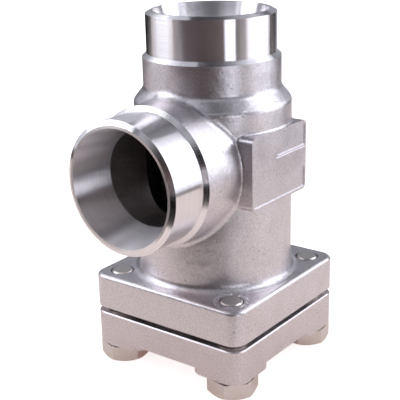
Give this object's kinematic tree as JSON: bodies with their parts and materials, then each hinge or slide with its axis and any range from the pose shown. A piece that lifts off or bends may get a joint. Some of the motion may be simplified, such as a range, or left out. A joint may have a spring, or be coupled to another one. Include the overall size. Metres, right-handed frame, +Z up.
{
  "type": "refrigeration line strainer",
  "caption": "Angle-way line strainer for refrigeration pipe: cast stainless body with butt-weld ends, square bolted bottom cover and a removable mesh insert.",
  "frame": {"origin": "centre of the top weld end's face", "axes": "+Z up out of the top weld end; the side weld end looks along -Y, 68.2 mm below the top one and 68.2 mm out from its axis; the cast pad with its two sunk panels is on the +X side"},
  "size_m": [0.0893, 0.1128, 0.1699],
  "materials": {
    "cast_stainless": "satin, shot-blasted cast stainless steel with bright turned weld ends",
    "gasket_fibre": "matt black flat fibre gasket",
    "bolt_stainless": "satin stainless steel fasteners",
    "ring_aluminium": "soft flat aluminium sealing ring",
    "insert_sheet": "rolled stainless sheet",
    "screen_mesh": "woven stainless wire mesh"
  },
  "bodies": {
    "root": {"housing": "cast_stainless", "bottom_cover": "cast_stainless", "cover_gasket": "gasket_fibre", "cover_bolt_1": "bolt_stainless", "cover_bolt_2": "bolt_stainless", "cover_bolt_3": "bolt_stainless", "cover_bolt_4": "bolt_stainless", "drain_plug": "bolt_stainless", "plug_ring": "ring_aluminium", "strainer_top_ring": "insert_sheet", "strainer_bottom_cap": "insert_sheet", "strainer_support_tube": "insert_sheet", "strainer_screen": "screen_mesh"}
  },
  "joints": []
}
